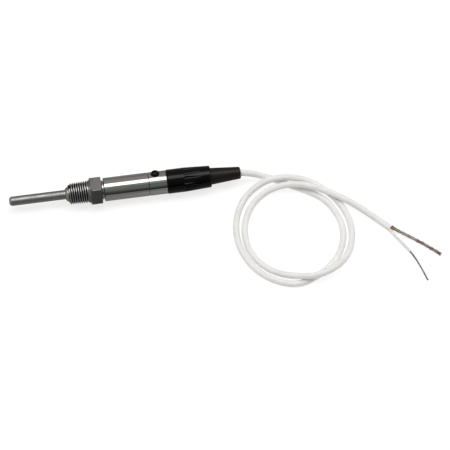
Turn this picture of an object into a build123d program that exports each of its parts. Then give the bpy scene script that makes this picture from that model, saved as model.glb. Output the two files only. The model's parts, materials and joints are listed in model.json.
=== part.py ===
from build123d import *
import math
import os

# Single-rod immersion probe with a quick-disconnect cable connector and a free shielded cable.
# Millimetres. X runs along the probe: the rod's tip points to -X, the cable leaves towards +X.
# Z is up, Z = 0 is the surface that the object lies on, and the origin is under its middle.

# ---------------------------------------------------------------- driving dimensions
HEX_AF = 17.0  # hexagon across flats; one flat lies on the surface
AXIS_Z = HEX_AF / 2  # height of the probe's axis

# stations along X
TIP_X = -74.05
THREAD_X = -36.1
HEX_X = -22.25
NECK_X = -15.05
HOUSING_X = -13.55
SEAM_X = 15.05
COLLAR_X = 26.85
RELIEF_X = 54.85
RELIEF_END_X = 74.05

# rod
ROD_R = 3.0
ROD_WALL = 0.5
TIP_WALL = 1.5  # thickness of the closed end
ROD_NECK_R = 2.8  # stepped inner end, which stands in the fitting's bore
ROD_TIP_ROUND = 2.0
SHEATH_END_X = -18.0
BRAZE_LENGTH = 2.2
BRAZE_R = 4.8
BRAZE_ARC_R = 2.6  # hollow flank of the braze

# 1/4-18 NPT male thread
THREAD_PITCH = 25.4 / 18
THREAD_ROOT_R = 5.74  # at the small end
THREAD_DEPTH = 1.06
THREAD_TAPER = 1 / 32  # growth of the radius per unit of length
THREAD_LENGTH = 11.7
THREAD_START = 0.6  # from the end face to the middle of the first ridge
THREAD_BASE = 0.46  # half width of a ridge at its base, as a share of the pitch
THREAD_CREST = 0.12  # and at its crest
THREAD_FACE_R = 6.3  # where the end chamfer meets the end face
THREAD_CHAMFER = 0.55
THREAD_SINK = 0.1  # how deep the ridge's base stands in the core
SHANK_LENGTH = 1.5  # cone between the thread and the hexagon
SHANK_START_R = 6.75
SHANK_END_R = 7.5
HEX_CHAMFER = 0.9  # along X
HEX_ROUND = 0.5  # round of its six long corners

# neck, spigot and housing
NECK_R = 5.2
WIRE_BORE_R = 2.0
TUBE_R = 7.5
TUBE_BORE_R = 6.5
HOUSING_WALL = 2.0
NUT_THICKNESS = 2.0
WASHER_R = 6.1
WASHER_THICKNESS = 0.7
WASHER_ROUND = 0.2
HOUSING_CHAMFER = 0.3
NUT_CLEARANCE = 0.2
NUT_NOTCH = 1.2

# sensing element in the tip
ELEMENT_GAP = 0.7
ELEMENT_LENGTH = 12.0
ELEMENT_R = 1.4
ELEMENT_ROUND = 0.3
ELEMENT_HOLE_R = 0.5
ELEMENT_HOLE_DEPTH = 1.5
CEMENT_COVER = 0.5
INSULATOR_CLEARANCE = 0.1

# electronics and pins
LEAD_R = 0.3
LEAD_OFFSET = 1.1
LEAD_SEAL_DEPTH = 2.0
LEAD_SEAL_THICKNESS = 1.5
BOARD_X = -1.0
BOARD_THICKNESS = 1.0
BOARD_CLEARANCE = 0.2
INSERT_X = 0.9
INSERT_THICKNESS = 2.5
RING_THICKNESS = 0.6
RING_GROOVE = 0.2
RING_DEPTH = 0.8  # how far the ring stands into the bore
PIN_R = 0.5
PIN_CIRCLE_R = 2.5
PIN_BACK_X = -1.6
PIN_TIP_X = 11.5
PIN_ROUND = 0.3
PIN_CLEARANCE = 0.05

# connector
NOSE_X = 4.5
NOSE_R = 6.35
SHELL_BORE_R = 5.3
SPIGOT_R = 6.3
SPIGOT_END_X = 34.85
SHELL_CHAMFER = 0.45
NOSE_CHAMFER = 0.4
SEAL_GROOVE_X = 11.6
SEAL_WIDTH = 1.1
SEAL_INNER_R = 5.9
SEAL_OUTER_R = TUBE_BORE_R - 0.1
SEAL_ROUND = 0.25
WINDOW_CLEARANCE = 0.3
CONTACT_R = 0.8
CONTACT_X = 5.2
CONTACT_END_X = 25.5
CONTACT_BORE_X = 13.0
CONTACT_CUP = 2.0  # depth of the solder cup
SOCKET_X = 5.0
SOCKET_END_X = 23.0
SOCKET_FLAT = 2.6  # height of the flat under the latch arm, from the axis

# latch, measured from the axis along the button's own direction
BUTTON_TILT = 22.0  # the button leans this far back from vertical
BUTTON_X = 19.7
BUTTON_R = 2.75
BUTTON_CLEARANCE = 0.09
BUTTON_TOP = 9.7
BUTTON_SHOULDER = 8.1
ARM_TOP = 4.9
ARM_THICKNESS = 0.5
ARM_WIDTH = 3.0
ARM_X = 6.6
ARM_END_X = 22.4
HOOK_TOP = 6.85
HOOK_LENGTH = 2.4
HOOK_RAMP = 1.5
HOOK_NOSE = 0.6  # height of the hook's blunt front above the arm
HOOK_WIDTH = 2.8
RIVET_R = 0.9
RIVET_TAIL = 0.4
KEYWAY_FLOOR = 7.0
KEYWAY_WIDTH = 3.4
KEYWAY_X = 5.9
SPRING_SEAT = 2.2
SPRING_R = 1.35
SPRING_WIRE_R = 0.15
SPRING_TURNS = 3
SPRING_POCKET_GAP = 0.25
BUTTON_POCKET_GAP = 0.3
BUTTON_POCKET_DEPTH = 0.9  # room under the arm for the button's travel
ARM_SLOT_GAP = 0.4  # beside the arm, each side

# collar, chuck and strain relief
COLLAR_FRONT_R = 7.75
COLLAR_REAR_R = 6.9
COLLAR_TAPER_X = 38.0
COLLAR_BORE_R = 5.8
COLLAR_MOUTH_X = 52.0
FLUTE_COUNT = 16
FLUTE_X = 38.4
FLUTE_R = 1.5
FLUTE_DEPTH = 0.55
COLLAR_CHAMFER = 0.3
COLLAR_ROUND = 0.8
CHUCK_X = 36.2
CHUCK_TAPER = 0.9  # how much smaller the chuck's front is
CHUCK_CLEARANCE = 0.1
CHUCK_SLIT = 0.7
CHUCK_SLIT_LENGTH = 8.0
RELIEF_FLANGE_X = 48.0
RELIEF_ROOT_R = 5.4
RELIEF_TIP_R = 3.8
RELIEF_ROUND = 1.2

# cable
CABLE_R = 2.05
CABLE_INNER_X = 32.0
CABLE_START_X = 73.4
FERRULE_GAP = 0.3
FERRULE_LENGTH = 3.4
FERRULE_WALL = 0.5
CORE_R = 0.5
CORE_BEND_R = 1.5
CORE_RUN_BACK = 2.0  # straight run from the cable
CORE_RUN_FRONT = 2.2  # and to the contact
PIGTAIL_R = 1.1
INSULATION_R = 0.9
INSULATION_GAP = 0.03
STRANDS_R = 0.55
OVERCUT = 1.0  # how far a cut runs past the surface that it opens
ARC_SHARE = 0.45  # share of the shorter run that an arc takes

# Free cable from the strain relief to the end of its jacket: off the boot, down to the surface,
# two loose turns, over its own earlier turns, then a straight tail.
CABLE_ROUTE = [
    (CABLE_START_X, 0.0, AXIS_Z),
    (80.6, -0.7, 7.4),
    (87.8, -2.0, 4.6),
    (95.2, -4.7, 2.4),
    (104.0, -9.8, 2.1),
    (114.5, -15.5, 2.1),
    (125.0, -23.5, 2.1),
    (131.2, -35.0, 2.1),
    (133.4, -47.5, 2.1),
    (130.2, -60.5, 2.1),
    (123.0, -70.5, 2.1),
    (112.0, -78.2, 2.1),
    (99.5, -82.8, 2.1),
    (87.0, -79.2, 2.1),
    (76.2, -71.2, 2.1),
    (69.0, -60.0, 2.1),
    (65.5, -47.5, 2.1),
    (65.8, -34.5, 2.1),
    (69.8, -22.0, 2.2),
    (78.0, -11.8, 3.4),
    (90.0, -6.4, 6.4),
    (103.5, -6.2, 6.8),
    (116.5, -9.8, 5.2),
    (127.2, -17.5, 2.2),
    (134.5, -28.5, 2.1),
    (138.4, -41.0, 2.1),
    (138.0, -54.0, 2.1),
    (133.2, -66.5, 3.6),
    (124.0, -76.0, 6.6),
    (111.5, -80.8, 7.2),
    (98.6, -78.4, 5.6),
    (86.6, -72.8, 2.4),
    (76.8, -64.0, 2.1),
    (71.0, -52.0, 2.1),
    (70.6, -38.5, 2.1),
    (74.6, -26.0, 2.1),
    (83.0, -15.8, 2.2),
    (95.0, -11.0, 4.4),
    (108.5, -12.0, 6.8),
    (121.0, -17.0, 6.7),
    (132.0, -24.0, 6.8),
    (143.0, -31.6, 4.8),
    (153.0, -40.2, 2.3),
    (162.6, -50.5, 2.1),
]

# Twisted screen and stripped inner conductor beyond the jacket's end.
PIGTAIL_ROUTE = [
    (163.0, -49.5, 2.1),
    (170.2, -54.9, 1.3),
    (177.4, -60.6, 1.15),
    (184.9, -67.0, 1.15),
    (191.4, -73.4, 1.15),
]
STRANDS_ROUTE = [
    (161.6, -50.8, 2.1),
    (164.8, -56.0, 1.5),
    (168.2, -61.3, 1.1),
    (170.6, -65.0, 1.0),
    (173.8, -70.8, 0.95),
    (176.4, -77.4, 0.85),
    (178.5, -83.9, 0.7),
    (180.2, -90.4, 0.6),
]
INSULATED_POINTS = 4  # route points that the insulation covers, and half of the next run


# ---------------------------------------------------------------- helpers
PROBE_AXIS = Axis((0, 0, AXIS_Z), (1, 0, 0))
HALF_SECTION = Plane(origin=(0, 0, AXIS_Z), x_dir=(1, 0, 0), z_dir=(0, -1, 0))
LEAN = math.radians(BUTTON_TILT)
PRESS = Plane(origin=(BUTTON_X, 0, AXIS_Z), x_dir=(1, 0, 0), z_dir=(0, math.sin(LEAN), math.cos(LEAN)))
PRESS_AXIS = Axis(PRESS.origin, PRESS.z_dir)
PRESS_SECTION = Plane(origin=PRESS.origin, x_dir=PRESS.x_dir, z_dir=-PRESS.y_dir)


def station(x):
    """Plane across the probe at x: its own x is global Y, its own y is global Z."""
    return Plane(origin=(x, 0, AXIS_Z), x_dir=(0, 1, 0), z_dir=(1, 0, 0))


def turned(outline, mode=Mode.ADD):
    """Revolve an outline of (x, radius) points about the probe's axis."""
    with BuildSketch(HALF_SECTION) as section:
        with BuildLine():
            Polyline(*outline, close=True)
        make_face()
    revolve(section.sketch, axis=PROBE_AXIS, mode=mode)


def bar(x_low, x_high, radius, mode=Mode.ADD):
    """Round bar about the probe's axis, or a bore with Mode.SUBTRACT."""
    with BuildSketch(station(x_low)) as section:
        Circle(radius)
    extrude(section.sketch, amount=x_high - x_low, mode=mode)


def wires(x_low, x_high, radius, centres, mode=Mode.ADD):
    """Round bars along X, one at each (y, z) centre measured from the axis."""
    with BuildSketch(station(x_low)) as section:
        with Locations(*centres):
            Circle(radius)
    extrude(section.sketch, amount=x_high - x_low, mode=mode)


def press_block(x_low, x_high, low, high, width, mode=Mode.ADD):
    """Block along the latch: low and high are heights from the axis towards the button."""
    with BuildSketch(PRESS.offset(low)) as section:
        with Locations(((x_low + x_high) / 2 - BUTTON_X, 0)):
            Rectangle(x_high - x_low, width)
    extrude(section.sketch, amount=high - low, mode=mode)


def bend_radii(route):
    """Largest even radius at each inner corner: ARC_SHARE of the shorter run, on its tangents."""
    radii = []
    for before, corner, after in zip(route, route[1:], route[2:]):
        run_in = Vector(*corner) - Vector(*before)
        run_out = Vector(*after) - Vector(*corner)
        half_turn = math.radians(run_in.get_angle(run_out)) / 2
        radii.append(ARC_SHARE * min(run_in.length, run_out.length) / math.tan(half_turn))
    return radii


def tail_route(leaves, contact):
    """Route of a conductor from the cable's end to the back of a contact, both (y, z) from the axis."""
    (leave_y, leave_z), (contact_y, contact_z) = leaves, contact
    return [
        (CABLE_INNER_X, leave_y, AXIS_Z + leave_z),
        (CABLE_INNER_X - CORE_RUN_BACK, leave_y, AXIS_Z + leave_z),
        (CONTACT_END_X + CORE_RUN_FRONT, contact_y, AXIS_Z + contact_z),
        (CONTACT_END_X, contact_y, AXIS_Z + contact_z),
    ]


def section_plane(path):
    """Plane across the start of a path."""
    return Plane(origin=path @ 0, z_dir=path % 0)


# Directions of the three contacts: one opposite the button, two either side of it.
CONTACTS = [
    (PIN_CIRCLE_R * math.sin(LEAN + math.radians(a)), PIN_CIRCLE_R * math.cos(LEAN + math.radians(a)))
    for a in (60, 180, 300)
]
LEADS = [(-LEAD_OFFSET, 0), (LEAD_OFFSET, 0)]

# ---------------------------------------------------------------- probe half
BRAZE_X = THREAD_X - BRAZE_LENGTH
with BuildPart() as probe_sheath:
    bar(TIP_X, BRAZE_X, ROD_R)
    fillet(probe_sheath.edges().sort_by(Axis.X)[0], ROD_TIP_ROUND)
    bar(BRAZE_X, SHEATH_END_X, ROD_NECK_R)
    bar(TIP_X + TIP_WALL, SHEATH_END_X, ROD_R - ROD_WALL, mode=Mode.SUBTRACT)
probe_sheath.part.label = "probe_sheath"

ELEMENT_X = TIP_X + TIP_WALL + ELEMENT_GAP
ELEMENT_END_X = ELEMENT_X + ELEMENT_LENGTH
LEAD_START_X = ELEMENT_END_X - ELEMENT_HOLE_DEPTH
CEMENT_END_X = ELEMENT_END_X + CEMENT_COVER
with BuildPart() as sensing_element:
    bar(ELEMENT_X, ELEMENT_END_X, ELEMENT_R)
    fillet(sensing_element.edges().filter_by(GeomType.CIRCLE), ELEMENT_ROUND)
    wires(LEAD_START_X, ELEMENT_END_X, ELEMENT_HOLE_R, LEADS, mode=Mode.SUBTRACT)
sensing_element.part.label = "sensing_element"

with BuildPart() as tip_cement:
    bar(TIP_X + TIP_WALL, CEMENT_END_X, ROD_R - ROD_WALL)
    add(sensing_element.part, mode=Mode.SUBTRACT)
    wires(LEAD_START_X, CEMENT_END_X, LEAD_R, LEADS, mode=Mode.SUBTRACT)
tip_cement.part.label = "tip_cement"

with BuildPart() as insulator_rod:
    bar(CEMENT_END_X, SHEATH_END_X, ROD_R - ROD_WALL - INSULATOR_CLEARANCE)
    wires(CEMENT_END_X, SHEATH_END_X, LEAD_R + INSULATOR_CLEARANCE, LEADS, mode=Mode.SUBTRACT)
insulator_rod.part.label = "insulator_rod"

with BuildPart() as element_leads:
    wires(LEAD_START_X, BOARD_X, LEAD_R, LEADS)
element_leads.part.label = "element_leads"

SPIGOT_BACK_X = HOUSING_X + HOUSING_WALL + NUT_THICKNESS
HEX_FACE_R = HEX_AF / 2 - 0.1  # the chamfer's circle on the hexagon's end faces
SHANK_X = HEX_X - SHANK_LENGTH
HEX_CORNER_R = HEX_AF / math.sqrt(3)
with BuildPart() as process_fitting:
    with BuildSketch(station(HEX_X)):
        hexagon = RegularPolygon(HEX_AF / 2, 6, major_radius=False)
        fillet(hexagon.vertices(), HEX_ROUND)
    extrude(amount=NECK_X - HEX_X)
    turned(
        [
            (HEX_X, 0),
            (HEX_X, HEX_FACE_R),
            (HEX_X + HEX_CHAMFER, HEX_CORNER_R),
            (NECK_X - HEX_CHAMFER, HEX_CORNER_R),
            (NECK_X, HEX_FACE_R),
            (NECK_X, 0),
        ],
        mode=Mode.INTERSECT,
    )
    turned(
        [
            (THREAD_X, 0),
            (THREAD_X, THREAD_ROOT_R),
            (SHANK_X, THREAD_ROOT_R + (SHANK_X - THREAD_X) * THREAD_TAPER),
            (SHANK_X, SHANK_START_R),
            (HEX_X, SHANK_END_R),
            (HEX_X, 0),
        ]
    )
    bar(NECK_X, SPIGOT_BACK_X, NECK_R)
    with BuildLine() as thread_helix:
        Helix(
            pitch=THREAD_PITCH,
            height=THREAD_LENGTH,
            radius=THREAD_ROOT_R - THREAD_SINK,
            center=(THREAD_X + THREAD_START, 0, AXIS_Z),
            direction=(1, 0, 0),
            cone_angle=math.degrees(math.atan(THREAD_TAPER)),
        )
    helix_start = thread_helix.line @ 0
    with BuildSketch(Plane(origin=helix_start, x_dir=(1, 0, 0), z_dir=thread_helix.line % 0)):
        with BuildLine():
            Polyline(
                (-THREAD_BASE * THREAD_PITCH, 0),
                (-THREAD_CREST * THREAD_PITCH, THREAD_DEPTH + THREAD_SINK),
                (THREAD_CREST * THREAD_PITCH, THREAD_DEPTH + THREAD_SINK),
                (THREAD_BASE * THREAD_PITCH, 0),
                close=True,
            )
        make_face()
    sweep(path=thread_helix.line, is_frenet=True)
    turned(
        [
            (THREAD_X - OVERCUT, 0),
            (THREAD_X, 0),
            (THREAD_X, THREAD_FACE_R),
            (THREAD_X + THREAD_CHAMFER, THREAD_FACE_R + THREAD_CHAMFER),
            (THREAD_X + THREAD_CHAMFER, TUBE_R + OVERCUT),
            (THREAD_X - OVERCUT, TUBE_R + OVERCUT),
        ],
        mode=Mode.SUBTRACT,
    )
    bar(THREAD_X, SHEATH_END_X, ROD_NECK_R, mode=Mode.SUBTRACT)
    bar(SHEATH_END_X, SPIGOT_BACK_X, WIRE_BORE_R, mode=Mode.SUBTRACT)
process_fitting.part.label = "process_fitting"

with BuildPart() as braze_ring:
    with BuildSketch(HALF_SECTION):
        with BuildLine():
            Polyline((BRAZE_X, ROD_R), (BRAZE_X, ROD_NECK_R), (THREAD_X, ROD_NECK_R), (THREAD_X, BRAZE_R))
            RadiusArc((THREAD_X, BRAZE_R), (BRAZE_X, ROD_R), -BRAZE_ARC_R)
        make_face()
    revolve(axis=PROBE_AXIS)
braze_ring.part.label = "braze_ring"

WASHER_X = (NECK_X + HOUSING_X - WASHER_THICKNESS) / 2
with BuildPart() as seal_washer:
    bar(WASHER_X, WASHER_X + WASHER_THICKNESS, WASHER_R)
    fillet(seal_washer.edges().filter_by(GeomType.CIRCLE), WASHER_ROUND)
    bar(WASHER_X, WASHER_X + WASHER_THICKNESS, NECK_R, mode=Mode.SUBTRACT)
seal_washer.part.label = "seal_washer"

RING_X = INSERT_X + INSERT_THICKNESS
with BuildPart() as sensor_housing:
    bar(HOUSING_X, SEAM_X, TUBE_R)
    chamfer(sensor_housing.edges().filter_by(GeomType.CIRCLE), HOUSING_CHAMFER)
    bar(HOUSING_X + HOUSING_WALL, SEAM_X, TUBE_BORE_R, mode=Mode.SUBTRACT)
    bar(HOUSING_X, HOUSING_X + HOUSING_WALL, NECK_R, mode=Mode.SUBTRACT)
    bar(RING_X, RING_X + RING_THICKNESS, TUBE_BORE_R + RING_GROOVE, mode=Mode.SUBTRACT)
    press_block(KEYWAY_X, SEAM_X, TUBE_BORE_R - OVERCUT, KEYWAY_FLOOR, KEYWAY_WIDTH, mode=Mode.SUBTRACT)
sensor_housing.part.label = "sensor_housing"

with BuildPart() as housing_nut:
    bar(HOUSING_X + HOUSING_WALL, SPIGOT_BACK_X, TUBE_BORE_R - NUT_CLEARANCE)
    bar(HOUSING_X + HOUSING_WALL, SPIGOT_BACK_X, NECK_R, mode=Mode.SUBTRACT)
    with BuildSketch(station(SPIGOT_BACK_X)):
        with PolarLocations(TUBE_BORE_R - NUT_CLEARANCE, 4):
            Rectangle(NUT_NOTCH, NUT_NOTCH)
    extrude(amount=-NUT_THICKNESS, mode=Mode.SUBTRACT)
housing_nut.part.label = "housing_nut"

SEAL_START_X = SPIGOT_BACK_X - LEAD_SEAL_DEPTH
SEAL_END_X = SPIGOT_BACK_X + LEAD_SEAL_THICKNESS
with BuildPart() as lead_seal:
    bar(SEAL_START_X, SPIGOT_BACK_X, WIRE_BORE_R)
    bar(SPIGOT_BACK_X, SEAL_END_X, TUBE_BORE_R)
    wires(SEAL_START_X, SEAL_END_X, LEAD_R, LEADS, mode=Mode.SUBTRACT)
lead_seal.part.label = "lead_seal"

with BuildPart() as signal_board:
    bar(BOARD_X, BOARD_X + BOARD_THICKNESS, TUBE_BORE_R - BOARD_CLEARANCE)
    wires(BOARD_X, BOARD_X + BOARD_THICKNESS, PIN_R, CONTACTS, mode=Mode.SUBTRACT)
signal_board.part.label = "signal_board"

# Each chip's centre (y, z) from the axis, its width and height across the board, and its depth.
CHIPS = [(2.6, -3.2, 3.0, 3.0, 1.2), (2.4, 3.4, 2.8, 2.2, 1.0), (-4.2, -0.8, 1.2, 2.0, 0.9)]
with BuildPart() as board_components:
    for chip_y, chip_z, chip_width, chip_height, chip_depth in CHIPS:
        with BuildSketch(station(BOARD_X)):
            with Locations((chip_y, chip_z)):
                Rectangle(chip_width, chip_height)
        extrude(amount=-chip_depth)
board_components.part.label = "board_components"

with BuildPart() as pin_insert:
    bar(INSERT_X, INSERT_X + INSERT_THICKNESS, TUBE_BORE_R)
    wires(INSERT_X, INSERT_X + INSERT_THICKNESS, PIN_R, CONTACTS, mode=Mode.SUBTRACT)
pin_insert.part.label = "pin_insert"

with BuildPart() as contact_pins:
    wires(PIN_BACK_X, PIN_TIP_X, PIN_R, CONTACTS)
    fillet(contact_pins.edges().group_by(Axis.X)[-1], PIN_ROUND)
contact_pins.part.label = "contact_pins"

with BuildPart() as retaining_ring:
    bar(RING_X, RING_X + RING_THICKNESS, TUBE_BORE_R + RING_GROOVE)
    bar(RING_X, RING_X + RING_THICKNESS, TUBE_BORE_R - RING_DEPTH, mode=Mode.SUBTRACT)
    press_block(
        RING_X,
        RING_X + RING_THICKNESS,
        TUBE_BORE_R - RING_DEPTH - OVERCUT,
        TUBE_BORE_R + OVERCUT,
        KEYWAY_WIDTH,
        mode=Mode.SUBTRACT,
    )
retaining_ring.part.label = "retaining_ring"

# ---------------------------------------------------------------- connector half
with BuildPart() as connector_shell:
    bar(SEAM_X, COLLAR_X, TUBE_R)
    chamfer(connector_shell.edges().filter_by(GeomType.CIRCLE), SHELL_CHAMFER)
    bar(NOSE_X, SEAM_X, NOSE_R)
    chamfer(connector_shell.edges().filter_by(GeomType.CIRCLE).sort_by(Axis.X)[0], NOSE_CHAMFER)
    bar(COLLAR_X, SPIGOT_END_X, SPIGOT_R)
    bar(NOSE_X, SPIGOT_END_X, SHELL_BORE_R, mode=Mode.SUBTRACT)
    turned(
        [
            (SEAL_GROOVE_X, SEAL_INNER_R),
            (SEAL_GROOVE_X + SEAL_WIDTH, SEAL_INNER_R),
            (SEAL_GROOVE_X + SEAL_WIDTH, NOSE_R + OVERCUT),
            (SEAL_GROOVE_X, NOSE_R + OVERCUT),
        ],
        mode=Mode.SUBTRACT,
    )
    press_block(
        ARM_X - WINDOW_CLEARANCE,
        ARM_X + HOOK_LENGTH + WINDOW_CLEARANCE,
        SHELL_BORE_R - OVERCUT,
        NOSE_R + OVERCUT,
        ARM_WIDTH + WINDOW_CLEARANCE,
        mode=Mode.SUBTRACT,
    )
    with BuildSketch(PRESS):
        Circle(BUTTON_R + BUTTON_CLEARANCE)
    extrude(amount=TUBE_R + OVERCUT, mode=Mode.SUBTRACT)
connector_shell.part.label = "connector_shell"

with BuildPart() as nose_seal:
    bar(SEAL_GROOVE_X, SEAL_GROOVE_X + SEAL_WIDTH, SEAL_OUTER_R)
    fillet(nose_seal.edges().filter_by(GeomType.CIRCLE), SEAL_ROUND)
    bar(SEAL_GROOVE_X, SEAL_GROOVE_X + SEAL_WIDTH, SEAL_INNER_R, mode=Mode.SUBTRACT)
nose_seal.part.label = "nose_seal"

with BuildPart() as contact_sockets:
    wires(CONTACT_X, CONTACT_END_X, CONTACT_R, CONTACTS)
    wires(CONTACT_X, CONTACT_BORE_X, PIN_R + PIN_CLEARANCE, CONTACTS, mode=Mode.SUBTRACT)
    wires(CONTACT_END_X - CONTACT_CUP, CONTACT_END_X, PIN_R, CONTACTS, mode=Mode.SUBTRACT)
contact_sockets.part.label = "contact_sockets"

ARM_BOTTOM = ARM_TOP - ARM_THICKNESS
SPRING_POCKET_R = SPRING_R + SPRING_WIRE_R + SPRING_POCKET_GAP
with BuildPart() as socket_insert:
    bar(SOCKET_X, SOCKET_END_X, SHELL_BORE_R)
    slot_width = ARM_WIDTH + 2 * ARM_SLOT_GAP
    press_block(SOCKET_X, SOCKET_END_X, SOCKET_FLAT, SHELL_BORE_R, slot_width, mode=Mode.SUBTRACT)
    with BuildSketch(PRESS.offset(SPRING_SEAT)):
        Circle(SPRING_POCKET_R)
    extrude(amount=SHELL_BORE_R, mode=Mode.SUBTRACT)
    with BuildSketch(PRESS.offset(ARM_BOTTOM - BUTTON_POCKET_DEPTH)):
        Circle(BUTTON_R + BUTTON_POCKET_GAP)
    extrude(amount=SHELL_BORE_R, mode=Mode.SUBTRACT)
    wires(SOCKET_X, SOCKET_END_X, CONTACT_R, CONTACTS, mode=Mode.SUBTRACT)
socket_insert.part.label = "socket_insert"

DOME_RISE = BUTTON_TOP - BUTTON_SHOULDER
DOME_R = (BUTTON_R**2 + DOME_RISE**2) / (2 * DOME_RISE)
with BuildPart() as latch_button:
    with BuildSketch(PRESS_SECTION):
        with BuildLine():
            Polyline(
                (0, ARM_BOTTOM - RIVET_TAIL),
                (RIVET_R, ARM_BOTTOM - RIVET_TAIL),
                (RIVET_R, ARM_TOP),
                (BUTTON_R, ARM_TOP),
                (BUTTON_R, BUTTON_SHOULDER),
            )
            RadiusArc((BUTTON_R, BUTTON_SHOULDER), (0, BUTTON_TOP), -DOME_R)
            Line((0, BUTTON_TOP), (0, ARM_BOTTOM - RIVET_TAIL))
        make_face()
    revolve(axis=PRESS_AXIS)
latch_button.part.label = "latch_button"

HOOK_X = ARM_X - BUTTON_X
with BuildPart() as latch_arm:
    press_block(ARM_X, ARM_END_X, ARM_BOTTOM, ARM_TOP, ARM_WIDTH)
    with BuildSketch(PRESS_SECTION):
        with BuildLine():
            Polyline(
                (HOOK_X, ARM_BOTTOM),
                (HOOK_X, ARM_TOP + HOOK_NOSE),
                (HOOK_X + HOOK_RAMP, HOOK_TOP),
                (HOOK_X + HOOK_LENGTH, HOOK_TOP),
                (HOOK_X + HOOK_LENGTH, ARM_BOTTOM),
                close=True,
            )
        make_face()
    extrude(amount=HOOK_WIDTH / 2, both=True)
    with BuildSketch(PRESS.offset(ARM_BOTTOM)):
        Circle(RIVET_R)
    extrude(amount=ARM_THICKNESS, mode=Mode.SUBTRACT)
latch_arm.part.label = "latch_arm"

SPRING_LENGTH = ARM_BOTTOM - SPRING_SEAT - 2 * SPRING_WIRE_R
with BuildPart() as latch_spring:
    with BuildLine() as coil:
        Helix(
            pitch=SPRING_LENGTH / SPRING_TURNS,
            height=SPRING_LENGTH,
            radius=SPRING_R,
            center=PRESS.offset(SPRING_SEAT + SPRING_WIRE_R).origin,
            direction=PRESS.z_dir,
        )
    with BuildSketch(section_plane(coil.line)):
        Circle(SPRING_WIRE_R)
    sweep(path=coil.line, is_frenet=True)
latch_spring.part.label = "latch_spring"

with BuildPart() as collar:
    turned(
        [
            (COLLAR_X, 0),
            (COLLAR_X, COLLAR_FRONT_R - COLLAR_CHAMFER),
            (COLLAR_X + COLLAR_CHAMFER, COLLAR_FRONT_R),
            (COLLAR_TAPER_X, COLLAR_FRONT_R),
            (RELIEF_X, COLLAR_REAR_R),
            (RELIEF_X, 0),
        ]
    )
    fillet(collar.edges().sort_by(Axis.X)[-1], COLLAR_ROUND)
    with Locations(station(FLUTE_X)):
        with PolarLocations(COLLAR_FRONT_R - FLUTE_DEPTH + FLUTE_R, FLUTE_COUNT):
            Cylinder(
                FLUTE_R,
                RELIEF_X - FLUTE_X,
                align=(Align.CENTER, Align.CENTER, Align.MIN),
                mode=Mode.SUBTRACT,
            )
            Sphere(FLUTE_R, mode=Mode.SUBTRACT)
    bar(COLLAR_X, SPIGOT_END_X, SPIGOT_R, mode=Mode.SUBTRACT)
    bar(SPIGOT_END_X, COLLAR_MOUTH_X, COLLAR_BORE_R, mode=Mode.SUBTRACT)
    bar(COLLAR_MOUTH_X, RELIEF_X, RELIEF_ROOT_R, mode=Mode.SUBTRACT)
collar.part.label = "collar"

CHUCK_R = COLLAR_BORE_R - CHUCK_CLEARANCE
with BuildPart() as cable_chuck:
    turned(
        [
            (CHUCK_X, CABLE_R),
            (CHUCK_X, CHUCK_R - CHUCK_TAPER),
            (CHUCK_X + CHUCK_SLIT_LENGTH, CHUCK_R),
            (RELIEF_FLANGE_X, CHUCK_R),
            (RELIEF_FLANGE_X, CABLE_R),
        ]
    )
    with BuildSketch(station(CHUCK_X)):
        Rectangle(2 * COLLAR_BORE_R, CHUCK_SLIT)
        Rectangle(CHUCK_SLIT, 2 * COLLAR_BORE_R)
    extrude(amount=CHUCK_SLIT_LENGTH, mode=Mode.SUBTRACT)
cable_chuck.part.label = "cable_chuck"

with BuildPart() as strain_relief:
    turned(
        [
            (RELIEF_FLANGE_X, 0),
            (RELIEF_FLANGE_X, COLLAR_BORE_R),
            (COLLAR_MOUTH_X, COLLAR_BORE_R),
            (COLLAR_MOUTH_X, RELIEF_ROOT_R),
            (RELIEF_X, RELIEF_ROOT_R),
            (RELIEF_END_X, RELIEF_TIP_R),
            (RELIEF_END_X, 0),
        ]
    )
    fillet(strain_relief.edges().sort_by(Axis.X)[-1], RELIEF_ROUND)
    bar(RELIEF_FLANGE_X, RELIEF_END_X, CABLE_R, mode=Mode.SUBTRACT)
strain_relief.part.label = "strain_relief"

with BuildPart() as cable_entry:
    bar(CABLE_INNER_X, CABLE_START_X, CABLE_R)
cable_entry.part.label = "cable_entry"

FERRULE_X = CABLE_INNER_X + FERRULE_GAP
with BuildPart() as shield_ferrule:
    bar(FERRULE_X, FERRULE_X + FERRULE_LENGTH, CABLE_R + FERRULE_WALL)
    bar(FERRULE_X, FERRULE_X + FERRULE_LENGTH, CABLE_R, mode=Mode.SUBTRACT)
shield_ferrule.part.label = "shield_ferrule"

# Where each conductor leaves the cable, as (y, z) from the axis: the core, then the twisted screen.
CORE_EXIT = (0.6, 0.2)
SHIELD_EXIT = (-0.5, -1.2)
with BuildPart() as core_tail:
    with BuildLine() as core_line:
        FilletPolyline(*tail_route(CORE_EXIT, CONTACTS[0]), radius=CORE_BEND_R)
    with BuildSketch(section_plane(core_line.line)):
        Circle(CORE_R)
    sweep(path=core_line.line)
core_tail.part.label = "core_tail"

with BuildPart() as shield_tail:
    with BuildLine() as shield_line:
        FilletPolyline(*tail_route(SHIELD_EXIT, CONTACTS[1]), radius=CORE_BEND_R)
    with BuildSketch(section_plane(shield_line.line)):
        Circle(CORE_R)
    sweep(path=shield_line.line)
shield_tail.part.label = "shield_tail"

# ---------------------------------------------------------------- free cable
with BuildPart() as cable_jacket:
    with BuildLine() as jacket_line:
        FilletPolyline(*CABLE_ROUTE, radius=bend_radii(CABLE_ROUTE))
    with BuildSketch(section_plane(jacket_line.line)):
        Circle(CABLE_R)
    sweep(path=jacket_line.line)
cable_jacket.part.label = "cable_jacket"

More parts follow.
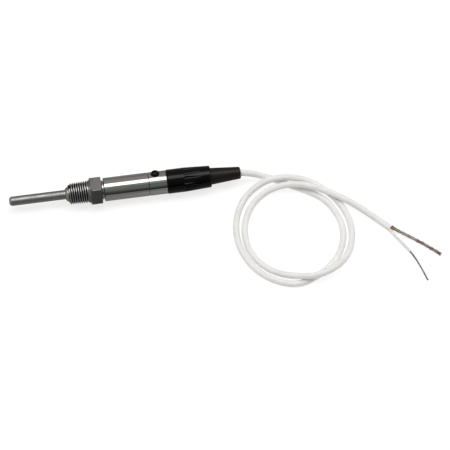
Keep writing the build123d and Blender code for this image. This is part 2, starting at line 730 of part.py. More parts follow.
with BuildPart() as shield_pigtail:
    with BuildLine() as pigtail_line:
        FilletPolyline(*PIGTAIL_ROUTE, radius=bend_radii(PIGTAIL_ROUTE))
    with BuildSketch(section_plane(pigtail_line.line)):
        Circle(PIGTAIL_R)
    sweep(path=pigtail_line.line)
shield_pigtail.part.label = "shield_pigtail"

with BuildPart() as core_strands:
    with BuildLine() as strands_line:
        FilletPolyline(*STRANDS_ROUTE, radius=bend_radii(STRANDS_ROUTE))
    with BuildSketch(section_plane(strands_line.line)):
        Circle(STRANDS_R)
    sweep(path=strands_line.line)
core_strands.part.label = "core_strands"

last_covered, next_bare = STRANDS_ROUTE[INSULATED_POINTS - 1 : INSULATED_POINTS + 1]
half_way = (Vector(*last_covered) + Vector(*next_bare)) * 0.5
insulated_route = STRANDS_ROUTE[:INSULATED_POINTS] + [tuple(half_way)]
with BuildPart() as core_insulation:
    with BuildLine() as insulation_line:
        FilletPolyline(*insulated_route, radius=bend_radii(STRANDS_ROUTE)[: INSULATED_POINTS - 1])
    with BuildSketch(section_plane(insulation_line.line)):
        Circle(INSULATION_R)
        Circle(STRANDS_R + INSULATION_GAP, mode=Mode.SUBTRACT)
    sweep(path=insulation_line.line)
core_insulation.part.label = "core_insulation"

# ---------------------------------------------------------------- output
SUB_PARTS = [
    probe_sheath,
    sensing_element,
    tip_cement,
    insulator_rod,
    element_leads,
    process_fitting,
    braze_ring,
    seal_washer,
    sensor_housing,
    housing_nut,
    lead_seal,
    signal_board,
    board_components,
    pin_insert,
    contact_pins,
    retaining_ring,
    connector_shell,
    nose_seal,
    contact_sockets,
    socket_insert,
    latch_button,
    latch_arm,
    latch_spring,
    collar,
    cable_chuck,
    strain_relief,
    cable_entry,
    shield_ferrule,
    core_tail,
    shield_tail,
    cable_jacket,
    shield_pigtail,
    core_strands,
    core_insulation,
]
os.makedirs("parts", exist_ok=True)
for sub_part in SUB_PARTS:
    export_step(sub_part.part, f"parts/{sub_part.part.label}.step")

for name, cord, line, radius in (
    ("cable_jacket", cable_jacket, jacket_line, CABLE_R),
    ("shield_pigtail", shield_pigtail, pigtail_line, PIGTAIL_R),
    ("core_strands", core_strands, strands_line, STRANDS_R),
):
    length = sum(edge.length for edge in line.edges())
    share = cord.part.volume / (math.pi * radius**2 * length)
    print(f"{name}: length {length:.1f}, volume is {share:.4f} of section times length")
for name, route in (("cable", CABLE_ROUTE), ("pigtail", PIGTAIL_ROUTE), ("strands", STRANDS_ROUTE)):
    print(name, "bend radii:", " ".join(f"{radius:.0f}" for radius in bend_radii(route)))
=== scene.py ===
import json
import math
import random

import bpy
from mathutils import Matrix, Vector


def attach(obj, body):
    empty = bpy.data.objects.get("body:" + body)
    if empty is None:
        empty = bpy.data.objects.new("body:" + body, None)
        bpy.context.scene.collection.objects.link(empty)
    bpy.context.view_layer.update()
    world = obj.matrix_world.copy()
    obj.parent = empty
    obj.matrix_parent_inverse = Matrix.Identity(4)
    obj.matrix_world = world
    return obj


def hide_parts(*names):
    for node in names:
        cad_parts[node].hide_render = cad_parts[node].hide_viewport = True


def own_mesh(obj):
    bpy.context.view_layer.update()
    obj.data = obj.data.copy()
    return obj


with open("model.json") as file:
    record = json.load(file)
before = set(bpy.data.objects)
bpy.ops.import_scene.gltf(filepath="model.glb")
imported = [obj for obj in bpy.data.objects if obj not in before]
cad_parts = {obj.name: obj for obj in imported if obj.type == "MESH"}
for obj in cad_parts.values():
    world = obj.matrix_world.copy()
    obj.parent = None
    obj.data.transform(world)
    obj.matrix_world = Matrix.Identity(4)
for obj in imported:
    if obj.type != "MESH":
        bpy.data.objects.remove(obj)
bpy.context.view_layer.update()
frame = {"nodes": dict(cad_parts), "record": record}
NODES = frame["nodes"]
MM = 0.001

# ---------------------------------------------------------------- camera
# Azimuth and elevation in degrees, in the frame's own sense: azimuth 0 looks along +Y.
AZIMUTH, ELEVATION = -8.3, 60.0
LENS_MM, SENSOR_MM = 400.0, 36.0
CLIP_START, CLIP_END = 0.05, 50.0
PICTURE_WIDTH = 0.2862  # metres across the picture, at the target
TARGET = Vector((0.0602, -0.02715, -0.00817))


def make_camera():
    """A distant camera with a long lens, looking at the target."""
    a, e = math.radians(AZIMUTH), math.radians(ELEVATION)
    back = Vector((math.sin(a) * math.cos(e), -math.cos(a) * math.cos(e), math.sin(e)))
    data = bpy.data.cameras.new("camera")
    data.lens, data.sensor_width = LENS_MM, SENSOR_MM
    data.clip_start, data.clip_end = CLIP_START, CLIP_END
    camera = bpy.data.objects.new("camera", data)
    camera.location = TARGET + back * (PICTURE_WIDTH * LENS_MM / SENSOR_MM)
    camera.rotation_mode = "QUATERNION"
    camera.rotation_quaternion = (-back).to_track_quat("-Z", "Y")
    bpy.context.scene.collection.objects.link(camera)
    bpy.context.scene.camera = camera


make_camera()

# ---------------------------------------------------------------- cords
CABLE_R = 2.05 * MM
INSULATION_R = 0.9 * MM

# The part's own routes, in metres.
CABLE_ROUTE = [
    (0.0734, 0.0, 0.0085),
    (0.0806, -0.0007, 0.0074),
    (0.0878, -0.0020, 0.0046),
    (0.0952, -0.0047, 0.0024),
    (0.1040, -0.0098, 0.0021),
    (0.1145, -0.0155, 0.0021),
    (0.1250, -0.0235, 0.0021),
    (0.1312, -0.0350, 0.0021),
    (0.1334, -0.0475, 0.0021),
    (0.1302, -0.0605, 0.0021),
    (0.1230, -0.0705, 0.0021),
    (0.1120, -0.0782, 0.0021),
    (0.0995, -0.0828, 0.0021),
    (0.0870, -0.0792, 0.0021),
    (0.0762, -0.0712, 0.0021),
    (0.0690, -0.0600, 0.0021),
    (0.0655, -0.0475, 0.0021),
    (0.0658, -0.0345, 0.0021),
    (0.0698, -0.0220, 0.0022),
    (0.0780, -0.0118, 0.0034),
    (0.0900, -0.0064, 0.0064),
    (0.1035, -0.0062, 0.0068),
    (0.1165, -0.0098, 0.0052),
    (0.1272, -0.0175, 0.0022),
    (0.1345, -0.0285, 0.0021),
    (0.1384, -0.0410, 0.0021),
    (0.1380, -0.0540, 0.0021),
    (0.1332, -0.0665, 0.0036),
    (0.1240, -0.0760, 0.0066),
    (0.1115, -0.0808, 0.0072),
    (0.0986, -0.0784, 0.0056),
    (0.0866, -0.0728, 0.0024),
    (0.0768, -0.0640, 0.0021),
    (0.0710, -0.0520, 0.0021),
    (0.0706, -0.0385, 0.0021),
    (0.0746, -0.0260, 0.0021),
    (0.0830, -0.0158, 0.0022),
    (0.0950, -0.0110, 0.0044),
    (0.1085, -0.0120, 0.0068),
    (0.1210, -0.0170, 0.0067),
    (0.1320, -0.0240, 0.0068),
    (0.1430, -0.0316, 0.0048),
    (0.1530, -0.0402, 0.0023),
    (0.1626, -0.0505, 0.0021),
]
PIGTAIL_ROUTE = [
    (0.1630, -0.0495, 0.0021),
    (0.1702, -0.0549, 0.0013),
    (0.1774, -0.0606, 0.00115),
    (0.1849, -0.0670, 0.00115),
    (0.1914, -0.0734, 0.00115),
]
STRANDS_ROUTE = [
    (0.1616, -0.0508, 0.0021),
    (0.1648, -0.0560, 0.0015),
    (0.1682, -0.0613, 0.0011),
    (0.1706, -0.0650, 0.0010),
    (0.1738, -0.0708, 0.00095),
    (0.1764, -0.0774, 0.00085),
    (0.1785, -0.0839, 0.0007),
    (0.1802, -0.0904, 0.0006),
]


CURVE_STEPS = 16
CURVE_BEVEL_STEPS = 8


def route_curve(name, route, radius):
    """A smooth curve with the route's points as its control points. Its points carry the cord's
    radius, because Blender's box round a curve is measured from them. Radius 0 gives a bare line."""
    data = bpy.data.curves.new(name, "CURVE")
    data.dimensions = "3D"
    data.resolution_u = CURVE_STEPS
    data.bevel_depth = 1.0 if radius else 0.0
    data.bevel_resolution = CURVE_BEVEL_STEPS
    data.use_fill_caps = True
    spline = data.splines.new("NURBS")
    spline.points.add(len(route) - 1)
    for point, place in zip(spline.points, route):
        point.co, point.radius = (*place, 1.0), radius
    spline.order_u = 3
    spline.use_endpoint_u = True
    made = bpy.data.objects.new(name, data)
    bpy.context.scene.collection.objects.link(made)
    return made


class CentreLine:
    """The line of a route's own smooth curve, read back from it.

    It gives a place and a frame at any length.
    """

    def __init__(self, name, route):
        curve = route_curve(name + "_line", route, 0.0)
        mesh = bpy.data.meshes.new_from_object(curve)
        self.points = [v.co.copy() for v in mesh.vertices]
        bpy.data.meshes.remove(mesh)
        bpy.data.objects.remove(curve)
        self.at = [0.0]
        for a, b in zip(self.points, self.points[1:]):
            self.at.append(self.at[-1] + (b - a).length)
        self.length = self.at[-1]

    def frame(self, s):
        """Place, tangent, sideways and upward directions at length s."""
        s = min(max(s, 0.0), self.length)
        i = 1
        while i < len(self.at) - 1 and self.at[i] < s:
            i += 1
        a, b = self.points[i - 1], self.points[i]
        share = (s - self.at[i - 1]) / max(self.at[i] - self.at[i - 1], 1e-9)
        before = self.points[max(i - 2, 0)]
        after = self.points[min(i + 1, len(self.points) - 1)]
        tangent = (b - before).normalized().lerp((after - a).normalized(), share).normalized()
        side = tangent.cross(Vector((0, 0, 1))).normalized()
        return a.lerp(b, share), tangent, side, side.cross(tangent).normalized()


def mesh_object(name, verts, faces):
    """A smooth-shaded mesh object in the scene."""
    data = bpy.data.meshes.new(name)
    data.from_pydata([tuple(v) for v in verts], [], faces)
    data.validate()
    data.polygons.foreach_set("use_smooth", [True] * len(data.polygons))
    made = bpy.data.objects.new(name, data)
    bpy.context.scene.collection.objects.link(made)
    return made


def add_tube(verts, faces, rings):
    """Closed skin over a list of rings, each a list of points, with a cap at both ends."""
    base, sides = len(verts), len(rings[0])
    for ring in rings:
        verts.extend(ring)
    for r in range(len(rings) - 1):
        for k in range(sides):
            a, b = base + r * sides + k, base + r * sides + (k + 1) % sides
            faces.append((a, b, b + sides, a + sides))
    faces.append(tuple(base + k for k in reversed(range(sides))))
    last = base + (len(rings) - 1) * sides
    faces.append(tuple(last + k for k in range(sides)))


def round_ring(place, side, up, radius, sides):
    """Points of a circle round a place."""
    angles = [2 * math.pi * k / sides for k in range(sides)]
    return [place + (side * math.cos(t) + up * math.sin(t)) * radius for t in angles]


def add_wire(verts, faces, path, radius, sides=8):
    """Round wire along a path of points."""
    rings = []
    for i, place in enumerate(path):
        tangent = (path[min(i + 1, len(path) - 1)] - path[max(i - 1, 0)]).normalized()
        side = tangent.cross(Vector((0, 0, 1))).normalized()
        rings.append(round_ring(place, side, side.cross(tangent), radius, sides))
    add_tube(verts, faces, rings)


def smooth_step(x):
    """0 to 1 with a level start and end."""
    x = min(max(x, 0.0), 1.0)
    return x * x * (3 - 2 * x)


BRAID_WIRES = 18
BRAID_WIRE_R = 0.15 * MM
BRAID_TWIST = 6.9 * MM  # length of one turn
BRAID_FLAT = (0.94 * MM, 0.74 * MM)  # half width and half thickness to the wires' centres
BRAID_ROOT = (1.30 * MM, 0.85 * MM)  # where it leaves the jacket
BRAID_ROOT_END = 5.5 * MM
BRAID_DRIFT = 23.0 * MM  # length over which a wire goes once round the bundle
BRAID_WIRE_SIDES = 6
BRAID_RAGGED = 1.1 * MM  # how much shorter the shortest wire may be
BRAID_SWELL = (0.94, 1.06)  # least and greatest share of the section a wire keeps to
BRAID_RIPPLE = 0.05  # share by which a wire rises and falls
BRAID_RIPPLE_LENGTH = 2.3 * MM
BRAID_FILL = 0.88  # share of the section filled by the core under the wires
BRAID_FILL_SHORT = 1.0 * MM  # how far the core stops before the end
BRAID_FILL_SIDES = 12
STEP = 0.35 * MM  # between the rings of the braid, the strands and the sleeve


def braid_section(s):
    """Half width, half thickness and turn of the twisted braid at length s."""
    share = smooth_step(s / BRAID_ROOT_END)
    wide = BRAID_ROOT[0] + (BRAID_FLAT[0] - BRAID_ROOT[0]) * share
    thick = BRAID_ROOT[1] + (BRAID_FLAT[1] - BRAID_ROOT[1]) * share
    turn = 2 * math.pi * max(s - 0.5 * BRAID_ROOT_END, 0.0) / BRAID_TWIST
    return wide, thick, turn


def twisted(place, side, up, x, y, turn):
    """A point x and y off the line, after the braid's turn."""
    c, d = math.cos(turn), math.sin(turn)
    return place + side * (x * c - y * d) + up * (x * d + y * c)


def make_braid(line):
    """Screen wires drawn together into one flat braid and twisted."""
    rng = random.Random(7)
    verts, faces = [], []
    for k in range(BRAID_WIRES):
        phase = 2 * math.pi * k / BRAID_WIRES
        way = 1 if k % 2 else -1
        end = line.length - rng.uniform(0.0, BRAID_RAGGED)
        swell = rng.uniform(*BRAID_SWELL)
        count = int(end / STEP)
        path = []
        for i in range(count + 1):
            s = end * i / count
            place, _, side, up = line.frame(s)
            wide, thick, turn = braid_section(s)
            angle = phase + way * 2 * math.pi * s / BRAID_DRIFT
            ripple = math.sin(2 * math.pi * s / BRAID_RIPPLE_LENGTH + phase * 3)
            lift = swell * (1 + BRAID_RIPPLE * ripple * way)
            x, y = wide * lift * math.cos(angle), thick * lift * math.sin(angle)
            path.append(twisted(place, side, up, x, y, turn))
        add_wire(verts, faces, path, BRAID_WIRE_R, sides=BRAID_WIRE_SIDES)
    rings = []
    core_end = line.length - BRAID_FILL_SHORT
    count = int(core_end / STEP)
    for i in range(count + 1):
        s = core_end * i / count
        place, _, side, up = line.frame(s)
        wide, thick, turn = braid_section(s)
        ring = []
        for k in range(BRAID_FILL_SIDES):
            t = 2 * math.pi * k / BRAID_FILL_SIDES
            x, y = BRAID_FILL * wide * math.cos(t), BRAID_FILL * thick * math.sin(t)
            ring.append(twisted(place, side, up, x, y, turn))
        rings.append(ring)
    add_tube(verts, faces, rings)
    return mesh_object("screen_braid", verts, faces)


STRAND_COUNT = 6
STRAND_R = 0.18 * MM
STRAND_CIRCLE = 0.355 * MM  # radius on which the outer strands lie
STRAND_LAY = 9.0 * MM  # length of one turn
STRAND_RAGGED = 0.5 * MM  # how much shorter the shortest strand may be


def make_strands(line):
    """One straight wire and six laid round it."""
    rng = random.Random(11)
    verts, faces = [], []
    for k in range(STRAND_COUNT + 1):
        end = line.length - rng.uniform(0.0, STRAND_RAGGED)
        count = int(end / STEP)
        circle = 0.0 if k == STRAND_COUNT else STRAND_CIRCLE
        phase = 2 * math.pi * k / STRAND_COUNT
        path = []
        for i in range(count + 1):
            s = end * i / count
            place, _, side, up = line.frame(s)
            t = phase + 2 * math.pi * s / STRAND_LAY
            path.append(place + (side * math.cos(t) + up * math.sin(t)) * circle)
        add_wire(verts, faces, path, STRAND_R)
    return mesh_object("core_strands_laid", verts, faces)


INSULATION_END = 21.0 * MM
INSULATION_BORE_R = 0.57 * MM
INSULATION_LIP = 0.12 * MM  # width of the eased edge at the cut end
INSULATION_EASE = 0.03 * MM
INSULATION_BORE = 2 * MM  # depth of the bore seen in the cut end
INSULATION_SIDES = 24


def make_insulation(line):
    """Sleeve of the stripped conductor, open at its cut end."""
    plain = int((INSULATION_END - INSULATION_LIP) / STEP)
    stations = [(i * STEP, INSULATION_R) for i in range(plain)]
    stations += [
        (INSULATION_END - INSULATION_LIP, INSULATION_R),
        (INSULATION_END - INSULATION_EASE, INSULATION_R - INSULATION_EASE),
        (INSULATION_END, INSULATION_R - INSULATION_LIP),
        (INSULATION_END, INSULATION_BORE_R),
        (INSULATION_END - INSULATION_BORE, INSULATION_BORE_R),
    ]
    rings = []
    for s, radius in stations:
        place, _, side, up = line.frame(s)
        rings.append(round_ring(place, side, up, radius, INSULATION_SIDES))
    verts, faces = [], []
    add_tube(verts, faces, rings)
    return mesh_object("core_sleeve", verts, faces)


AXIS_HEIGHT = 8.5  # mm, the probe's axis over the floor


def make_spring():
    """A copy of the latch's spring."""
    node = NODES["latch_spring"]
    verts = [node.matrix_world @ v.co for v in node.data.vertices]
    return mesh_object("latch_spring_coil", verts, [tuple(p.vertices) for p in node.data.polygons])


spring = make_spring()
cable = route_curve("cable", CABLE_ROUTE, CABLE_R)
pigtail_line = CentreLine("pigtail", PIGTAIL_ROUTE)
strands_line = CentreLine("strands", STRANDS_ROUTE)
braid = make_braid(pigtail_line)
strands = make_strands(strands_line)
sleeve = make_insulation(strands_line)

# Each Blender piece with the CAD node it stands for and its slot.
PIECES = (
    (cable, "cable_jacket", "cable_white"),
    (braid, "shield_pigtail", "screen_braid"),
    (strands, "core_strands", "tinned_strands"),
    (sleeve, "core_insulation", "core_white"),
    (spring, "latch_spring", "spring_steel"),
)
for piece, node, slot in PIECES:
    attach(piece, "connector")
    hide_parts(node)
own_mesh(spring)


# ---------------------------------------------------------------- materials
class Look:
    """A procedural material on a Principled shader, with its textures in the piece's own metres."""

    def __init__(self, name, **sockets):
        self.material = bpy.data.materials.new(name)
        self.material.use_nodes = True
        self.tree = self.material.node_tree
        self.shader = self.tree.nodes["Principled BSDF"]
        self.coordinates = self.tree.nodes.new("ShaderNodeTexCoord").outputs["Object"]
        self.normal = None
        for socket, value in sockets.items():
            self.shader.inputs[socket.replace("_", " ")].default_value = value

    def node(self, kind, **values):
        made = self.tree.nodes.new("ShaderNode" + kind)
        for key, value in values.items():
            setattr(made, key, value)
        return made

    def link(self, source, target):
        self.tree.links.new(source, target)

    def noise(self, grain, detail=3.0, rough=0.55):
        """Noise with features of about 1 / grain metres along each axis."""
        mapping = self.node("Mapping")
        mapping.inputs["Scale"].default_value = grain
        self.link(self.coordinates, mapping.inputs["Vector"])
        made = self.node("TexNoise")
        made.inputs["Scale"].default_value = 1.0
        made.inputs["Detail"].default_value = detail
        made.inputs["Roughness"].default_value = rough
        self.link(mapping.outputs["Vector"], made.inputs["Vector"])
        return made.outputs["Fac"]

    def ramp(self, source, stops):
        """A colour for each stop of the source, blended between them."""
        made = self.node("ValToRGB")
        elements = made.color_ramp.elements
        while len(elements) < len(stops):
            elements.new(0.5)
        for element, (at, colour) in zip(elements, stops):
            element.position = at
            element.color = (*colour, 1.0)
        self.link(source, made.inputs["Fac"])
        return made.outputs["Color"]

    def spread(self, source, low, high):
        """The middle of a noise stretched to run from low to high."""
        return self.between(source, 0.3, 0.7, low, high)

    def between(self, source, low, high, at_low, at_high):
        """A straight run from at_low to at_high as the source goes from low to high.

        It stays flat outside.
        """
        made = self.node("MapRange")
        made.inputs["From Min"].default_value = low
        made.inputs["From Max"].default_value = high
        made.inputs["To Min"].default_value = at_low
        made.inputs["To Max"].default_value = at_high
        self.link(source, made.inputs["Value"])
        return made.outputs["Result"]

    def maths(self, operation, a, b):
        """The operation on two outputs."""
        made = self.node("Math", operation=operation)
        self.link(a, made.inputs[0])
        self.link(b, made.inputs[1])
        return made.outputs["Value"]

    def from_axis(self):
        """Place along the probe's axis and distance from it."""
        flat = self.node("Mapping")
        flat.inputs["Location"].default_value = (0.0, 0.0, -AXIS_Z)
        flat.inputs["Scale"].default_value = (0.0, 1.0, 1.0)
        self.link(self.coordinates, flat.inputs["Vector"])
        length = self.node("VectorMath", operation="LENGTH")
        self.link(flat.outputs["Vector"], length.inputs[0])
        split = self.node("SeparateXYZ")
        self.link(self.coordinates, split.inputs["Vector"])
        return split.outputs["X"], length.outputs["Value"]

    def times(self, a, b):
        """Two colours multiplied."""
        made = self.node("Mix", data_type="RGBA", blend_type="MULTIPLY")
        made.inputs["Factor"].default_value = 1.0
        self.link(a, made.inputs["A"])
        self.link(b, made.inputs["B"])
        return made.outputs["Result"]

    def bump(self, source, depth, strength=1.0):
        """Relief of the depth in metres, on top of any made before it."""
        made = self.node("Bump")
        made.inputs["Strength"].default_value = strength
        made.inputs["Distance"].default_value = depth
        self.link(source, made.inputs["Height"])
        if self.normal is not None:
            self.link(self.normal, made.inputs["Normal"])
        self.normal = made.outputs["Normal"]
        self.link(self.normal, self.shader.inputs["Normal"])

    def colour(self, source):
        self.link(source, self.shader.inputs["Base Color"])

    def roughness(self, source):
        self.link(source, self.shader.inputs["Roughness"])


def grey(value):
    return (value, value, value)


def even(grain):
    """The same grain along every axis."""
    return (grain, grain, grain)


TURNED = (7000.0, 120.0, 120.0)  # rings round X
DRAWN = (60.0, 5200.0, 5200.0)  # hairlines along X
STREAKS = (14.0, 1100.0, 1100.0)  # broader bands along X
SMUDGE = even(160.0)
AXIS_Z = AXIS_HEIGHT * MM
THREAD_FROM, THREAD_TO = -36.1 * MM, -23.8 * MM
ROOT_R_FROM, ROOT_R_TO = 5.74 * MM, 6.12 * MM  # the thread's root, which widens along it
GROOVE_SHADE_HEIGHT = 0.95 * MM  # above the root; the painted groove shade's ramp is spread over this height
SHOULDER_FROM, SHOULDER_TO = -23.9 * MM, -23.6 * MM  # where the thread's painted groove shade, painted crest highlight and rougher finish give way
GRIP_FROM, GRIP_TO = 37.9 * MM, 38.9 * MM  # where the collar's flutes begin
BRAID_FROM, BRAID_TO = 163.0 * MM, 191.0 * MM


def metal(
    name, dark, light, rough, grain, depth=2e-6, spread=0.06, stain=SMUDGE, stained=0.86
):
    """Metal between two tones at the fine grain, shaded and roughened by a broader stain."""
    look = Look(name, Metallic=1.0)
    fine, broad = look.noise(grain, detail=4.0), look.noise(stain, detail=3.0)
    tone = look.ramp(fine, [(0.3, dark), (0.7, light)])
    shade = look.ramp(broad, [(0.3, grey(stained)), (0.65, grey(1.0))])
    look.colour(look.times(tone, shade))
    look.roughness(look.spread(broad, rough + spread, rough - spread))
    look.bump(fine, depth)
    return look.material


def fitting_look():
    """Turned steel with painted shade in the thread's grooves and a painted highlight on its crests.

    The grooves are told by their distance from the axis.
    """
    look = Look("fitting_steel", Metallic=1.0)
    fine, broad = look.noise(TURNED, detail=4.0), look.noise(SMUDGE, detail=3.0)
    tone = look.ramp(fine, [(0.3, (0.20, 0.20, 0.198)), (0.7, (0.36, 0.36, 0.352))])
    shade = look.ramp(broad, [(0.3, grey(0.82)), (0.65, grey(1.0))])
    x, radius = look.from_axis()
    root = look.between(x, THREAD_FROM, THREAD_TO, ROOT_R_FROM, ROOT_R_TO)
    above = look.maths("SUBTRACT", radius, root)
    crest = look.between(above, 0.0, GROOVE_SHADE_HEIGHT, 0.0, 1.0)
    past = look.between(x, SHOULDER_FROM, SHOULDER_TO, 0.0, 1.0)
    unshaded_share = look.maths("MAXIMUM", crest, past)
    # Painted shade: the grooves are darkened in the base colour, standing in for the shade that
    # falls in them.
    painted_groove_shade = look.ramp(unshaded_share, [(0.0, grey(0.04)), (0.45, grey(0.12)), (0.85, grey(1.0))])
    # Painted highlight: the thread's base colour is doubled so its crests look lit from the sides;
    # the hexagon's tone is a little darker.
    painted_crest_light_and_hex_tone = look.between(x, SHOULDER_FROM, SHOULDER_TO, 2.0, 0.8)
    look.colour(look.times(look.times(look.times(tone, shade), painted_groove_shade), painted_crest_light_and_hex_tone))
    duller = look.between(x, SHOULDER_FROM, SHOULDER_TO, 0.14, 0.0)
    look.roughness(look.maths("ADD", duller, look.spread(broad, 0.29, 0.21)))
    look.bump(fine, 3e-6)
    return look.material


def collar_look():
    """Black plastic, glossy on the smooth front and duller on the fluted grip behind it."""
    look = Look("collar_plastic", Specular_IOR_Level=0.2)
    fine, broad = look.noise(even(900.0), detail=4.0), look.noise(SMUDGE)
    dark, light = (0.0006, 0.0004, 0.0004), (0.0016, 0.0012, 0.0011)
    look.colour(look.ramp(broad, [(0.3, dark), (0.7, light)]))
    x, _ = look.from_axis()
    dull = look.between(x, GRIP_FROM, GRIP_TO, 0.0, 0.05)
    look.roughness(look.maths("ADD", dull, look.spread(fine, 0.06, 0.13)))
    look.bump(fine, 4e-6)
    return look.material


def plastic(name, dark, light, rough, depth, grain=900.0, spread=0.05, specular=0.5):
    """Plastic, rubber or ceramic between two tones, with a fine surface grain."""
    look = Look(name, Specular_IOR_Level=specular)
    fine, broad = look.noise(even(grain), detail=4.0), look.noise(SMUDGE)
    tone = look.ramp(broad, [(0.3, dark), (0.7, light)])
    look.colour(tone)
    look.roughness(look.spread(fine, rough - spread, rough + spread))
    look.bump(fine, depth)
    return look.material


def cable_look():
    """White jacket with faint scuffs and waves."""
    look = Look("cable_white", Specular_IOR_Level=0.45)
    broad = look.noise(even(70.0), detail=4.0)
    fine = look.noise(even(1400.0), detail=3.0)
    scuffs = look.noise(even(240.0), detail=6.0, rough=0.7)
    tone = look.ramp(broad, [(0.3, (0.84, 0.825, 0.81)), (0.7, (0.91, 0.895, 0.885))])
    dirt = look.ramp(scuffs, [(0.25, (0.87, 0.84, 0.80)), (0.42, grey(1.0))])
    look.colour(look.times(tone, dirt))
    look.roughness(look.spread(scuffs, 0.48, 0.32))
    look.bump(broad, 4e-5, 0.6)
    look.bump(fine, 4e-6)
    return look.material


def braid_look():
    """Tarnished screen wires, whose tint changes along the pigtail."""
    look = Look("screen_braid", Metallic=0.75)
    patch = look.noise(even(260.0), detail=3.0)
    fine = look.noise(even(3000.0), detail=3.0)
    tone = look.ramp(
        patch, [(0.34, (0.30, 0.24, 0.21)), (0.5, (0.55, 0.48, 0.44)), (0.66, (0.78, 0.73, 0.70))]
    )
    shade = look.ramp(fine, [(0.3, grey(0.7)), (0.65, grey(1.0))])
    x, _ = look.from_axis()
    share = look.between(x, BRAID_FROM, BRAID_TO, 0.0, 1.0)
    length = look.ramp(
        share,
        [
            (0.0, (0.85, 0.70, 0.55)),
            (0.3, (1.0, 0.98, 0.92)),
            (0.6, (1.0, 0.90, 0.90)),
            (1.0, (0.72, 0.60, 0.59)),
        ],
    )
    look.colour(look.times(look.times(tone, shade), length))
    look.roughness(look.spread(fine, 0.5, 0.36))
    look.bump(fine, 6e-6)
    return look.material


def insulation_look():
    """White sleeve that lets a little light through."""
    look = Look("core_white", Subsurface_Weight=0.1, Subsurface_Scale=0.0004)
    broad = look.noise(even(500.0), detail=3.0)
    look.colour(look.ramp(broad, [(0.3, (0.72, 0.725, 0.72)), (0.7, (0.84, 0.845, 0.84))]))
    look.roughness(look.spread(broad, 0.3, 0.42))
    look.bump(broad, 1.2e-5)
    return look.material


LOOKS = {
    "rod_steel": metal("rod_steel", grey(0.27), (0.41, 0.405, 0.40), 0.42, TURNED, 2.5e-6),
    "fitting_steel": fitting_look(),
    "braze": metal(
        "braze", (0.30, 0.285, 0.26), (0.48, 0.46, 0.43), 0.36, even(700.0), 1.2e-5
    ),
    "washer_steel": metal("washer_steel", grey(0.55), grey(0.76), 0.2, TURNED, 2e-6),
    "polished_steel": metal(
        "polished_steel",
        (0.46, 0.45, 0.44),
        (0.76, 0.75, 0.73),
        0.08,
        DRAWN,
        1e-6,
        0.03,
        STREAKS,
        0.6,
    ),
    "shell_metal": metal(
        "shell_metal",
        (0.46, 0.46, 0.45),
        (0.74, 0.74, 0.73),
        0.08,
        DRAWN,
        1e-6,
        0.03,
        STREAKS,
        0.6,
    ),
    "black_gloss": plastic(
        "black_gloss", grey(0.001), grey(0.002), 0.05, 6e-5, 800.0, 0.02, specular=0.12
    ),
    "collar_plastic": collar_look(),
    "black_rubber": plastic(
        "black_rubber",
        (0.007, 0.0045, 0.0035),
        (0.016, 0.011, 0.009),
        0.40,
        6e-6,
        specular=0.22,
    ),
    "seal_rubber": plastic("seal_rubber", grey(0.012), grey(0.03), 0.55, 8e-6),
    "cable_white": cable_look(),
    "screen_braid": braid_look(),
    "tinned_strands": metal(
        "tinned_strands", (0.17, 0.17, 0.162), (0.35, 0.35, 0.333), 0.34, SMUDGE, 3e-6
    ),
    "core_white": insulation_look(),
    "ceramic": plastic("ceramic", (0.78, 0.76, 0.70), (0.88, 0.86, 0.80), 0.6, 1e-5),
    "cement": plastic("cement", (0.52, 0.50, 0.46), (0.70, 0.68, 0.63), 0.8, 3e-5, grain=1600.0),
    "epoxy": plastic("epoxy", (0.02, 0.03, 0.045), (0.05, 0.06, 0.08), 0.22, 2e-5, grain=400.0),
    "board_green": plastic("board_green", (0.01, 0.09, 0.035), (0.02, 0.15, 0.06), 0.35, 6e-6),
    "chip_black": plastic("chip_black", grey(0.012), grey(0.03), 0.48, 5e-6),
    "insert_plastic": plastic(
        "insert_plastic", (0.02, 0.02, 0.022), (0.05, 0.05, 0.052), 0.4, 6e-6
    ),
    "gold": metal("gold", (0.72, 0.50, 0.16), (0.95, 0.72, 0.30), 0.18, TURNED, 1e-6),
    "spring_steel": metal("spring_steel", grey(0.40), grey(0.62), 0.25, DRAWN, 2e-6),
    "ferrule_metal": metal(
        "ferrule_metal", (0.50, 0.47, 0.42), (0.72, 0.69, 0.62), 0.28, TURNED, 2e-6
    ),
}

# Every CAD node takes the look of its own slot in the record.
NODE_SLOTS = {p["node"]: p["material_slot"] for p in frame["record"]["subparts"]}
for name, made in NODES.items():
    made.data.materials.clear()
    made.data.materials.append(LOOKS[NODE_SLOTS[name]])
for piece, _, slot in PIECES:
    piece.data.materials.append(LOOKS[slot])


# ---------------------------------------------------------------- floor and light
FLOOR_GLOW = 0.76  # a light table, which keeps the shadows on it soft
FLOOR_IN_METAL = 0.31  # how bright reflections show the table
FLOOR_REACH = 12.0  # metres from the middle to each edge


def make_floor():
    """Pale light table. Reflections show it dimmer than the camera sees it."""
    look = Look("floor", Roughness=0.9, Specular_IOR_Level=0.1)
    look.colour(look.ramp(look.noise(even(3.0)), [(0.3, grey(0.30)), (0.7, grey(0.32))]))
    look.shader.inputs["Emission Color"].default_value = (1.0, 1.0, 1.0, 1.0)
    look.shader.inputs["Emission Strength"].default_value = FLOOR_GLOW
    seen = look.node("Emission")
    seen.inputs["Color"].default_value = (1.0, 0.985, 0.97, 1.0)
    seen.inputs["Strength"].default_value = FLOOR_IN_METAL
    mix = look.node("MixShader")
    look.link(look.node("LightPath").outputs["Is Glossy Ray"], mix.inputs["Fac"])
    look.link(look.shader.outputs["BSDF"], mix.inputs[1])
    look.link(seen.outputs["Emission"], mix.inputs[2])
    look.link(mix.outputs["Shader"], look.tree.nodes["Material Output"].inputs["Surface"])
    corners = [(-1, -1, 0), (1, -1, 0), (1, 1, 0), (-1, 1, 0)]
    floor = mesh_object("floor", [Vector(c) * FLOOR_REACH for c in corners], [(0, 1, 2, 3)])
    floor.data.materials.append(look.material)


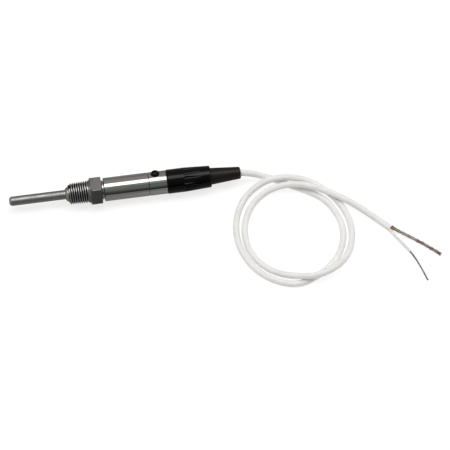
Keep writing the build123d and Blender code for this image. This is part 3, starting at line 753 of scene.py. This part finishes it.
# Brightness and tint round the X axis, in degrees from straight up: negative towards -Y,
# positive towards +Y.
WARM, COOL, PLAIN = (1.0, 0.93, 0.90), (0.90, 1.0, 0.95), (1.0, 1.0, 1.0)
SKY = [
    (-180, 0.25, PLAIN),
    (-97, 0.10, COOL),
    (-88, 0.02, COOL),
    (-62, 0.13, COOL),
    (-10, 0.36, COOL),
    (-2, 3.4, PLAIN),
    (20, 3.4, PLAIN),
    (26, 0.50, WARM),
    (50, 0.38, WARM),
    (86, 0.26, WARM),
    (180, 0.25, PLAIN),
]
SKY_PEAK = 3.4
END_GLOW = 0.6  # the pale ends of the studio, seen along X
END_FROM, END_TO = 0.45, 0.85  # share of a direction along X where the ends fade in


def make_world():
    """Studio light that changes with the angle round X and turns even at both ends."""
    world = bpy.data.worlds.new("studio")
    world.use_nodes = True
    tree = world.node_tree
    place = tree.nodes.new("ShaderNodeTexCoord").outputs["Generated"]
    split = tree.nodes.new("ShaderNodeSeparateXYZ")
    angle = tree.nodes.new("ShaderNodeMath")
    angle.operation = "ARCTAN2"
    share = tree.nodes.new("ShaderNodeMapRange")
    share.inputs["From Min"].default_value = -math.pi
    share.inputs["From Max"].default_value = math.pi
    ramp = tree.nodes.new("ShaderNodeValToRGB")
    elements = ramp.color_ramp.elements
    while len(elements) < len(SKY):
        elements.new(0.5)
    for element, (degrees, bright, tint) in zip(elements, SKY):
        element.position = (degrees + 180) / 360
        element.color = (*[bright / SKY_PEAK * t for t in tint], 1.0)
    tree.links.new(place, split.inputs["Vector"])
    tree.links.new(split.outputs["Y"], angle.inputs[0])
    tree.links.new(split.outputs["Z"], angle.inputs[1])
    tree.links.new(angle.outputs["Value"], share.inputs["Value"])
    tree.links.new(share.outputs["Result"], ramp.inputs["Fac"])
    along = tree.nodes.new("ShaderNodeMath")
    along.operation = "ABSOLUTE"
    tree.links.new(split.outputs["X"], along.inputs[0])
    near_end = tree.nodes.new("ShaderNodeMapRange")
    near_end.inputs["From Min"].default_value = END_FROM
    near_end.inputs["From Max"].default_value = END_TO
    tree.links.new(along.outputs["Value"], near_end.inputs["Value"])
    ends = tree.nodes.new("ShaderNodeMix")
    ends.data_type = "RGBA"
    ends.inputs["B"].default_value = (*grey(END_GLOW / SKY_PEAK), 1.0)
    tree.links.new(near_end.outputs["Result"], ends.inputs["Factor"])
    tree.links.new(ramp.outputs["Color"], ends.inputs["A"])
    sky = tree.nodes["Background"]
    tree.links.new(ends.outputs["Result"], sky.inputs["Color"])
    sky.inputs["Strength"].default_value = SKY_PEAK
    bpy.context.scene.world = world


make_floor()
make_world()
bpy.context.scene.view_settings.view_transform = "Standard"
